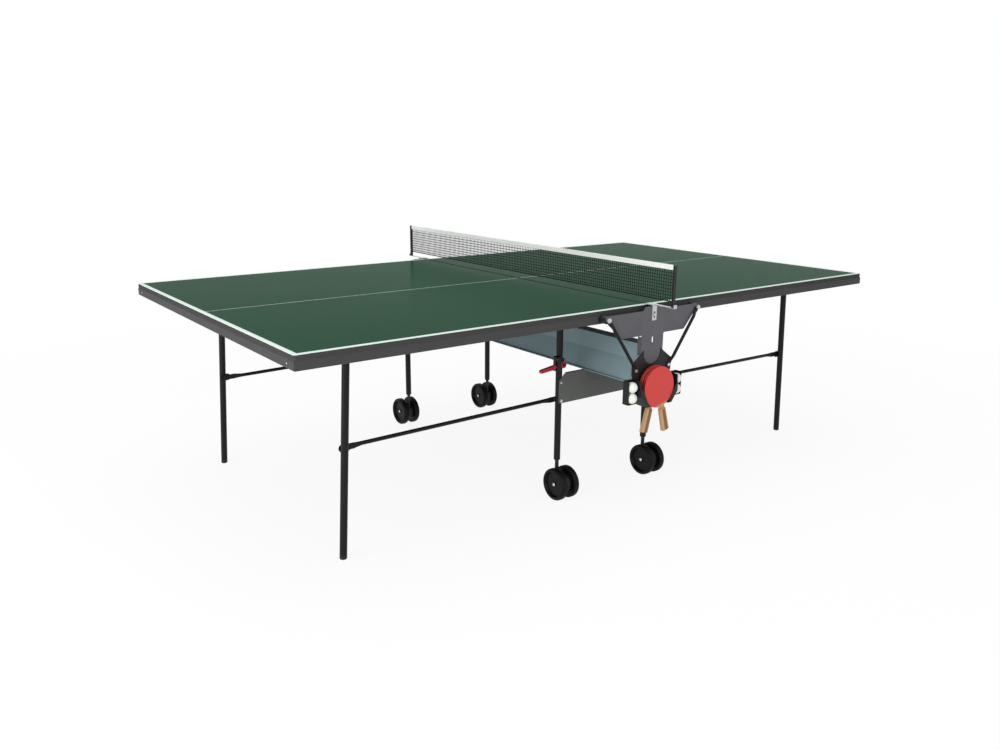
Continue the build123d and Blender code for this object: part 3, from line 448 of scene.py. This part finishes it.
def wheel_plastic(name, value, centre):
    """Moulded wheel: turned rings on the face, dull tread."""
    g = Graph(name)
    at = g.split(g.measured_from(centre))
    across = g.math("MULTIPLY", at["Y"], at["Y"])
    up = g.math("MULTIPLY", at["Z"], at["Z"])
    radius = g.math("SQRT", g.math("ADD", across, up))
    rings = g.math("SINE", g.math("MULTIPLY", radius, RING_RATE))
    face = g.math("LESS_THAN", radius, WHEEL_FACE)
    moulded = g.bump(g.noise(380.0), strength=0.08, distance=0.0004)
    g.set(
        Base_Color=g.cloudy(value, 0.8, 1.25, scale=55.0),
        Roughness=g.spread(face, 0.0, 1.0, TREAD_ROUGH, FACE_ROUGH),
        Normal=g.bump(g.math("MULTIPLY", rings, face), strength=0.12, distance=0.0004, under=moulded),
        Specular_IOR_Level=0.12,
    )
    return g.material


def woven(name, value, scale):
    """Woven or twisted textile."""
    g = Graph(name)
    weave = g.bands("DIAGONAL", scale, distortion=0.6)
    g.set(
        Base_Color=g.mix(weave, shade(value, 0.82), shade(value, 1.08)),
        Roughness=0.85,
        Normal=g.bump(weave, strength=0.35, distance=0.0003),
        Specular_IOR_Level=0.2,
    )
    return g.material


def racket_plywood(name, colours, lean):
    """Plywood blade with ply edges and edge tape, and a grip with a dark veneer down its middle."""
    g = Graph(name)
    upright = g.add("ShaderNodeMapping", vector_type="POINT")
    upright.inputs["Rotation"].default_value = (0.0, lean, 0.0)
    g.join(g.measured_from(BLADE_MIDDLE), upright.inputs["Vector"])
    at = g.split(upright.outputs[0])
    stretched = g.add("ShaderNodeMapping")
    stretched.inputs["Scale"].default_value = GRAIN_SCALE
    g.join(upright.outputs[0], stretched.inputs["Vector"])
    grain = g.noise(1.0, detail=5.0, vector=stretched.outputs[0])
    plies = g.math("MULTIPLY", g.bands("Y", PLY_SCALE), PLY_DEPTH)
    wood = g.mix(grain, shade(colours.blade_wood, 0.72), shade(colours.blade_wood, 1.12))
    wood = g.mix(plies, wood, shade(colours.blade_wood, PLY_SHADE))
    on_grip = g.math("LESS_THAN", at["Z"], STRIPE_TOP)
    in_middle = g.math("LESS_THAN", g.math("ABSOLUTE", at["X"]), STRIPE_HALF)
    wood = g.mix(g.math("MULTIPLY", on_grip, in_middle), wood, list(colours.grip_stripe))
    rim = g.math("LESS_THAN", g.math("ABSOLUTE", g.split(g.normal)["Y"]), RIM_FACING)
    taped = g.math("MULTIPLY", rim, g.math("GREATER_THAN", at["Z"], EDGE_TAPE_FOOT))
    g.set(
        Base_Color=g.mix(taped, wood, list(colours.edge_tape)),
        Roughness=g.spread(grain, NOISE_LOW, NOISE_HIGH, 0.42, 0.58),
        Normal=g.bump(grain, strength=0.15, distance=0.0003),
        Specular_IOR_Level=0.3,
    )
    return g.material


def racket_rubber(name, value):
    """Inverted racket rubber: matt, with the pips showing faintly."""
    g = Graph(name)
    g.set(
        Base_Color=g.cloudy(value, 0.92, 1.06, scale=12.0),
        Roughness=g.uneven(0.5, 0.62, scale=70.0),
        Normal=g.bump(g.cells(480.0, randomness=0.1), strength=0.10, distance=0.0004),
        Specular_IOR_Level=0.25,
    )
    return g.material


def ball_shell(name, value):
    """Matt shell that lets a little light in."""
    g = Graph(name)
    g.set(
        Base_Color=g.cloudy(value, 0.96, 1.03, scale=40.0),
        Roughness=g.uneven(0.5, 0.62, scale=300.0),
        Normal=g.bump(g.noise(1500.0), strength=0.05, distance=0.0002),
        Subsurface_Weight=0.08,
        Specular_IOR_Level=0.3,
    )
    return g.material


def dress(material, *names):
    """Gives the named CAD nodes this finish."""
    for name in names:
        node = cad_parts[name]
        node.data.materials.clear()
        node.data.materials.append(material)


def add_object(name, data):
    made = bpy.data.objects.new(name, data)
    bpy.context.scene.collection.objects.link(made)
    return made


def mesh_object(name, form, material):
    """Turns a bmesh into an object with one finish."""
    mesh = bpy.data.meshes.new(name)
    form.to_mesh(mesh)
    form.free()
    mesh.materials.append(material)
    return add_object(name, mesh)


def mesh_piece(name, form, body, material):
    """Turns a bmesh into a piece that rides on a body."""
    piece = mesh_object(name, form, material)
    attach(piece, body)
    return piece


def seat_facing(at, outward):
    """Place whose Z points outward."""
    return Matrix.Translation(at) @ Vector(outward).to_track_quat("Z", "Y").to_matrix().to_4x4()


def ring(form, place, radius, size, rises):
    """A ring of points, one for each rise, with size and rise as shares of the radius."""
    points = []
    for step, rise in enumerate(rises):
        angle = 2 * math.pi * step / len(rises)
        spot = Vector((math.cos(angle) * size, math.sin(angle) * size, rise)) * radius
        points.append(form.verts.new(place @ spot))
    return points


def skin(form, rings):
    """Faces from ring to ring, with the first ring closed."""
    form.faces.new(list(reversed(rings[0])))
    for low, high in zip(rings, rings[1:]):
        for step in range(len(low)):
            after = (step + 1) % len(low)
            form.faces.new((low[step], low[after], high[after], high[step]))


def closed_skin(form, rings):
    """Faces from ring to ring, with the first and the last ring closed."""
    skin(form, rings)
    form.faces.new(rings[-1])


def screw_head(form, at, outward, radius):
    """Adds a domed screw head with a cross recess, its foot at the given point."""
    place = seat_facing(at, outward)
    rings = [ring(form, place, radius, size, [rise] * SCREW_SIDES) for size, rise in SCREW_PROFILE]
    quarter = SCREW_SIDES // 4
    depths = [RECESS_RIM if step % quarter else RECESS_SLOT for step in range(SCREW_SIDES)]
    rings.append(ring(form, place, radius, RECESS_SIZE, depths))
    closed_skin(form, rings)


def axle_cap(form, at, outward, radius):
    """Adds a domed push-on cap with a flat rim, its foot at the given point."""
    place = seat_facing(at, outward)
    rings = [ring(form, place, radius, size, [rise] * CAP_SIDES) for size, rise in CAP_PROFILE]
    skin(form, rings)
    top = rings[-1]
    tip = form.verts.new(place @ Vector((0, 0, CAP_TIP * radius)))
    for step in range(CAP_SIDES):
        form.faces.new((top[step], top[(step + 1) % CAP_SIDES], tip))


class PINGPONG_OT_boards(bpy.types.Operator):
    """Paint the two half boards and coat their rails"""

    bl_idname = "pingpong.boards"
    bl_label = "Boards and rails"

    def execute(self, context):
        colours = context.scene.table_colours
        paint = board_paint("board_paint", colours, context.scene.table_lines)
        rail = powder_coat("rail_coat", colours.rail_grey, rough=0.5, specular=0.05)
        clip = powder_coat("clip_coat", colours.tube_black)
        for end in ENDS:
            dress(paint, "board_" + end)
            dress(rail, "end_rail_" + end, *["side_rail_" + side + "_" + end for side in SIDES])
            dress(clip, "leg_clips_" + end)
        return {"FINISHED"}


class PINGPONG_OT_legs(bpy.types.Operator):
    """Coat the end legs, link bars and their caps"""

    bl_idname = "pingpong.legs"
    bl_label = "End legs and links"

    def execute(self, context):
        colours = context.scene.table_colours
        tube_coat = powder_coat("tube_coat", colours.tube_black, rough=0.36, specular=0.16)
        cap = moulded_plastic("foot_cap_plastic", colours.plastic_black, rough=0.62)
        for end in ENDS:
            dress(tube_coat, "leg_frame_" + end, "link_brackets_" + end)
            dress(tube_coat, *["link_bar_" + side + "_" + end for side in SIDES])
            dress(cap, "foot_caps_" + end)
        return {"FINISHED"}


class PINGPONG_OT_undercarriage(bpy.types.Operator):
    """Coat the posts, braces, beam, panels, wheel legs and bolts"""

    bl_idname = "pingpong.undercarriage"
    bl_label = "Undercarriage"

    def execute(self, context):
        colours = context.scene.table_colours
        tube_coat = powder_coat("undercarriage_tube_coat", colours.tube_black, rough=0.36, specular=0.16)
        post = powder_coat("post_coat", colours.post_grey, specular=0.25)
        beam = powder_coat("beam_coat", colours.beam_grey, rough=0.4)
        panel = powder_coat("panel_coat", colours.panel_grey)
        bolt = plated_steel("bolt_zinc", colours.zinc)
        sleeve = moulded_plastic("sleeve_plastic", colours.plastic_black, rough=0.55)
        for corner in CORNERS:
            dress(tube_coat, "brace_" + corner, "wheel_leg_" + corner)
        for side in SIDES:
            dress(post, "t_post_" + side)
            dress(panel, "side_panel_" + side)
        dress(beam, "cross_beam")
        dress(bolt, "frame_bolts")
        dress(sleeve, "pivot_sleeves", "lock_housings")
        return {"FINISHED"}


class PINGPONG_OT_castors(bpy.types.Operator):
    """Finish the castors and wheels and add the axle caps"""

    bl_idname = "pingpong.castors"
    bl_label = "Castors"

    def execute(self, context):
        colours = context.scene.table_colours
        hood = moulded_plastic("castor_plastic", colours.plastic_black, rough=0.42)
        zinc = plated_steel("axle_cap_zinc", colours.zinc)
        radius = context.scene.table_fasteners.axle_cap
        for corner in CORNERS:
            low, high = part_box("wheel_set_" + corner)
            middle = (low + high) / 2
            wheel = wheel_plastic("wheel_plastic_" + corner, colours.wheel_grey, middle)
            dress(hood, "castor_" + corner)
            dress(wheel, "wheel_set_" + corner)
            form = bmesh.new()
            for sign in (-1, 1):
                seat = Vector((middle.x + sign * AXLE_CAP_SEAT, middle.y, middle.z))
                axle_cap(form, seat, (sign, 0, 0), radius)
            bmesh.ops.recalc_face_normals(form, faces=form.faces)
            mesh_piece("axle_caps_" + corner, form, "wheel_" + corner, zinc)
        return {"FINISHED"}


class PINGPONG_OT_net(bpy.types.Operator):
    """Stretch the net between its posts, with tape and foot cord"""

    bl_idname = "pingpong.net"
    bl_label = "Net"

    def execute(self, context):
        colours = context.scene.table_colours
        sizes = context.scene.table_net
        cord = woven("net_cord", colours.net_green, scale=900.0)
        foot_cord = woven("foot_cord", colours.tube_black, scale=700.0)
        tape = woven("net_tape", colours.tape_white, scale=420.0)
        zinc = plated_steel("clamp_zinc", colours.zinc)
        post = powder_coat("net_post_coat", colours.plastic_black, rough=0.4)
        dress(zinc, *["net_clamp_" + side for side in SIDES])
        dress(post, "net_posts")
        width, height = MESH_HIGH.y - MESH_LOW.y, MESH_HIGH.z - MESH_LOW.z
        pitch, row = width / sizes.columns, height / sizes.rows
        net = self.mesh(sizes, pitch, row, cord)
        foot = self.foot_cord(sizes.foot_cord, foot_cord)
        band = self.tape(tape)
        return {"FINISHED"}

    def cord_edges(self, low, high, pitch, count, half):
        """Both edges of each cord from low to high, the outer ones trimmed."""
        edges = []
        for step in range(count + 1):
            middle = low + step * pitch
            edges += [max(low, middle - half), min(high, middle + half)]
        return edges

    def mesh(self, sizes, pitch, row, material):
        """Square meshes of flat cord that sways slightly out of plane."""
        half = sizes.cord / 2
        across = self.cord_edges(MESH_LOW.y, MESH_HIGH.y, pitch, sizes.columns, half)
        up = self.cord_edges(MESH_LOW.z, MESH_HIGH.z, row, sizes.rows, half)
        form = bmesh.new()
        grid = {}

        def corner(i, j):
            if (i, j) not in grid:
                sway = CORD_SWAY * math.sin(i * SWAY_ALONG + j * SWAY_UP)
                grid[i, j] = form.verts.new((sway, across[i], up[j]))
            return grid[i, j]

        for i in range(len(across) - 1):
            for j in range(len(up) - 1):
                if i % 2 and j % 2:
                    continue
                form.faces.new((corner(i, j), corner(i + 1, j), corner(i + 1, j + 1), corner(i, j + 1)))
        piece = mesh_piece("net_knotted", form, "undercarriage", material)
        thick = piece.modifiers.new("Thickness", "SOLIDIFY")
        thick.thickness = sizes.cord_thick
        thick.offset = 0.0
        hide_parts("net_mesh")
        return piece

    def foot_cord(self, radius, material):
        """Round cord threaded through the lowest meshes."""
        form = bmesh.new()
        rings = []
        for step in range(FOOT_SPANS + 1):
            y = MESH_LOW.y + (MESH_HIGH.y - MESH_LOW.y) * step / FOOT_SPANS
            weave = FOOT_WEAVE * math.sin(FOOT_WEAVE_STEP * step)
            points = []
            for side in range(FOOT_SIDES):
                angle = 2 * math.pi * side / FOOT_SIDES
                x = weave + radius * math.cos(angle)
                points.append(form.verts.new((x, y, MESH_LOW.z + FOOT_RISE + radius * math.sin(angle))))
            rings.append(points)
        closed_skin(form, rings)
        for face in form.faces:
            face.smooth = True
        return mesh_piece("net_foot_cord", form, "undercarriage", material)

    def tape(self, material):
        """Tape folded over the head cord, puckered, with a hem line along its lower edge."""
        form = bmesh.new()
        half = (TAPE_HIGH.x - TAPE_LOW.x) / 2
        side = [(-half + inset, TAPE_LOW.z + rise) for inset, rise in HEM_PROFILE]
        side.append((-half, TAPE_HIGH.z - half))
        fold = []
        for step in range(1, FOLD_STEPS):
            angle = math.pi - math.pi * step / FOLD_STEPS
            fold.append((half * math.cos(angle), TAPE_HIGH.z - half + half * math.sin(angle)))
        outer = side + fold + [(-x, z) for x, z in reversed(side)]
        thinner = (half - TAPE_SKIN) / half
        inner = [(x * thinner, min(z, TAPE_HIGH.z - TAPE_SKIN)) for x, z in reversed(outer)]
        rings = []
        for step in range(TAPE_SPANS + 1):
            y = TAPE_LOW.y + (TAPE_HIGH.y - TAPE_LOW.y) * step / TAPE_SPANS
            pull = 1.0 - TAPE_PUCKER * (step % 2)
            rings.append([form.verts.new((x * pull, y, z)) for x, z in outer + inner])
        closed_skin(form, rings)
        bmesh.ops.recalc_face_normals(form, faces=form.faces)
        piece = mesh_piece("net_folded_tape", form, "undercarriage", material)
        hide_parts("net_tape")
        return piece


class PINGPONG_OT_levers(bpy.types.Operator):
    """Finish the lock levers"""

    bl_idname = "pingpong.levers"
    bl_label = "Lock levers"

    def execute(self, context):
        colours = context.scene.table_colours
        red = moulded_plastic("lever_plastic", colours.lever_red, rough=0.3, grain=0.04, specular=0.5)
        dress(red, *["lock_lever_" + end for end in ENDS])
        return {"FINISHED"}


class PINGPONG_OT_rackets(bpy.types.Operator):
    """Finish the racket holder and the two rackets"""

    bl_idname = "pingpong.rackets"
    bl_label = "Rackets and holder"

    def execute(self, context):
        colours = context.scene.table_colours
        holder = moulded_plastic("holder_plastic", colours.plastic_black, rough=0.55)
        rubber = racket_rubber("racket_rubber", colours.rubber_red)
        dress(holder, "racket_holder")
        for name, lean in (("back", -RACKET_LEAN), ("front", RACKET_LEAN)):
            dress(racket_plywood("racket_plywood_" + name, colours, lean), "racket_" + name + "_wood")
            dress(rubber, "racket_" + name + "_rubber")
        return {"FINISHED"}


class PINGPONG_OT_balls(bpy.types.Operator):
    """Put a seamed ball in each place of the ball troughs"""

    bl_idname = "pingpong.balls"
    bl_label = "Balls"

    def execute(self, context):
        shell = ball_shell("ball_shell", context.scene.table_colours.ball_white)
        for number in range(1, BALL_COUNT + 1):
            node = "ball_" + str(number)
            low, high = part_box(node)
            middle, radius = (low + high) / 2, (high.z - low.z) / 2
            form = bmesh.new()
            bmesh.ops.create_uvsphere(
                form, u_segments=BALL_SEGMENTS, v_segments=BALL_RINGS, radius=radius
            )
            for vert in form.verts:
                if abs(vert.co.z) / radius < SEAM_HALF:
                    vert.co *= SEAM_RADIUS
            for face in form.faces:
                face.smooth = True
            turn = Matrix.Rotation(BALL_TURN + number, 4, BALL_AXIS)
            bmesh.ops.transform(form, matrix=Matrix.Translation(middle) @ turn, verts=form.verts)
            piece = mesh_piece("seamed_ball_" + str(number), form, node, shell)
            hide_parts(node)
        return {"FINISHED"}


class PINGPONG_OT_fasteners(bpy.types.Operator):
    """Add the screws that show on rails and panels"""

    bl_idname = "pingpong.fasteners"
    bl_label = "Screws"

    def execute(self, context):
        zinc = plated_steel("screw_zinc", context.scene.table_colours.zinc)
        radius = context.scene.table_fasteners.screw
        for end in ENDS:
            form = self.rail_screws(end, radius)
            mesh_piece("rail_screws_" + end, form, "half_" + end, zinc)
        mesh_piece("panel_screws", self.panel_screws(radius), "undercarriage", zinc)
        return {"FINISHED"}

    def rail_screws(self, end, radius):
        low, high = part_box("end_rail_" + end)
        face, sign = (low.x, -1) if end == "left" else (high.x, 1)
        outward = Vector((sign, 0, 0))
        form = bmesh.new()
        for y in (low.y + RAIL_SCREW_INSET, high.y - RAIL_SCREW_INSET):
            at = Vector((face, y, (low.z + high.z) / 2)) - outward * RAIL_SCREW_SINK
            screw_head(form, at, outward, radius)
        bmesh.ops.recalc_face_normals(form, faces=form.faces)
        return form

    def panel_screws(self, radius):
        form = bmesh.new()
        for side in SIDES:
            low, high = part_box("side_panel_" + side)
            face, sign = (low.y, -1) if side == "near" else (high.y, 1)
            for x in (low.x + PANEL_SCREW_INSET, high.x - PANEL_SCREW_INSET):
                screw_head(form, Vector((x, face, high.z - PANEL_SCREW_DROP)), (0, sign, 0), radius)
        bmesh.ops.recalc_face_normals(form, faces=form.faces)
        return form


def background_rays(tree):
    """1 for the rays that show the background: camera, glossy and transmission rays."""
    path = tree.nodes.new("ShaderNodeLightPath")
    seen = path.outputs["Is Camera Ray"]
    for name in ("Is Glossy Ray", "Is Transmission Ray"):
        either = tree.nodes.new("ShaderNodeMath")
        either.operation = "MAXIMUM"
        tree.links.new(seen, either.inputs[0])
        tree.links.new(path.outputs[name], either.inputs[1])
        seen = either.outputs[0]
    return seen


class PINGPONG_OT_stage(bpy.types.Operator):
    """Set the floor, the light and the camera"""

    bl_idname = "pingpong.stage"
    bl_label = "Stage"

    def execute(self, context):
        sizes = context.scene.table_stage
        self.floor(sizes)
        self.world(context.scene)
        self.lamps()
        self.camera(context.scene, sizes)
        context.scene.view_settings.view_transform = "Standard"
        return {"FINISHED"}

    def floor(self, sizes):
        """White floor that keeps the table's shadow and glows to full white further out."""
        g = Graph("floor_white")
        g.set(Base_Color=FLOOR_WHITE, Roughness=0.9, Specular_IOR_Level=0.0)
        light = g.add("ShaderNodeEmission")
        light.inputs["Strength"].default_value = 1.0
        away = g.add("ShaderNodeVectorMath", operation="LENGTH")
        g.join(g.at, away.inputs[0])
        reach = sizes.shadow_reach
        glow = g.spread(away.outputs["Value"], reach, 2 * reach, FLOOR_GLOW_NEAR, FLOOR_GLOW_FAR)
        blend = g.add("ShaderNodeMixShader")
        g.join(g.math("MULTIPLY", background_rays(g.tree), glow), blend.inputs[0])
        g.join(g.shader.outputs[0], blend.inputs[1])
        g.join(light.outputs[0], blend.inputs[2])
        g.join(blend.outputs[0], g.tree.nodes["Material Output"].inputs["Surface"])
        form = bmesh.new()
        bmesh.ops.create_grid(form, x_segments=1, y_segments=1, size=sizes.floor / 2)
        mesh_object("floor", form, g.material)

    def world(self, scene):
        """White where it is seen, dimmer as a light."""
        world = bpy.data.worlds.new("studio")
        scene.world = world
        world.use_nodes = True
        tree = world.node_tree
        back = tree.nodes["Background"]
        back.inputs["Color"].default_value = (1.0, 1.0, 1.0, 1.0)
        level = tree.nodes.new("ShaderNodeMapRange")
        level.inputs["To Min"].default_value = WORLD_LIGHT
        level.inputs["To Max"].default_value = 1.0
        tree.links.new(background_rays(tree), level.inputs["Value"])
        tree.links.new(level.outputs["Result"], back.inputs["Strength"])

    def lamps(self):
        for name, at, size, power in LAMPS:
            lamp = bpy.data.lights.new(name, "AREA")
            lamp.size = size
            lamp.energy = power
            lamp_object = add_object(name, lamp)
            lamp_object.location = at
            aim = Vector(LAMP_AIM) - Vector(at)
            lamp_object.rotation_euler = aim.to_track_quat("-Z", "Y").to_euler()

    def camera(self, scene, sizes):
        flat = math.cos(sizes.elevation)
        away_x = math.sin(sizes.azimuth) * flat
        away_y = -math.cos(sizes.azimuth) * flat
        back = Vector((away_x, away_y, math.sin(sizes.elevation)))
        right = (-back).cross(Vector((0, 0, 1))).normalized()
        up = right.cross(-back)
        c, s = math.cos(sizes.roll), math.sin(sizes.roll)
        right, up = right * c + up * s, up * c - right * s
        turn = Matrix((right, up, back)).transposed().to_4x4()
        data = bpy.data.cameras.new("photo_camera")
        data.sensor_fit = "HORIZONTAL"
        data.sensor_width = SENSOR_WIDTH
        data.lens = sizes.lens
        data.clip_end = CLIP_END
        camera = add_object("photo_camera", data)
        camera.matrix_world = Matrix.Translation(Vector(sizes.target) + back * sizes.distance) @ turn
        scene.camera = camera


OPERATORS = (
    PINGPONG_OT_stage,
    PINGPONG_OT_boards,
    PINGPONG_OT_legs,
    PINGPONG_OT_undercarriage,
    PINGPONG_OT_castors,
    PINGPONG_OT_net,
    PINGPONG_OT_levers,
    PINGPONG_OT_rackets,
    PINGPONG_OT_balls,
    PINGPONG_OT_fasteners,
)
GROUPS = {
    "table_colours": TableColours,
    "table_lines": LineSizes,
    "table_net": NetSizes,
    "table_fasteners": FastenerSizes,
    "table_stage": StageSizes,
}


class PINGPONG_PT_table(bpy.types.Panel):
    """Lists the table's pieces and their sizes and colours"""

    bl_idname = "PINGPONG_PT_table"
    bl_label = "Ping Pong Table"
    bl_space_type = "VIEW_3D"
    bl_region_type = "UI"
    bl_category = "Ping Pong Table"

    def draw(self, context):
        for operator in OPERATORS:
            self.layout.operator(operator.bl_idname)
        for key, group in GROUPS.items():
            box = self.layout.box()
            box.label(text=group.__doc__)
            for name in group.__annotations__:
                box.prop(getattr(context.scene, key), name)


def register():
    for group in GROUPS.values():
        bpy.utils.register_class(group)
    for key, group in GROUPS.items():
        setattr(bpy.types.Scene, key, PointerProperty(type=group))
    for operator in OPERATORS:
        bpy.utils.register_class(operator)
    bpy.utils.register_class(PINGPONG_PT_table)


def unregister():
    bpy.utils.unregister_class(PINGPONG_PT_table)
    for operator in reversed(OPERATORS):
        bpy.utils.unregister_class(operator)
    for key in GROUPS:
        delattr(bpy.types.Scene, key)
    for group in reversed(list(GROUPS.values())):
        bpy.utils.unregister_class(group)


def main():
    register()
    for operator in OPERATORS:
        group, name = operator.bl_idname.split(".")
        getattr(getattr(bpy.ops, group), name)()


if __name__ == "__main__":
    main()
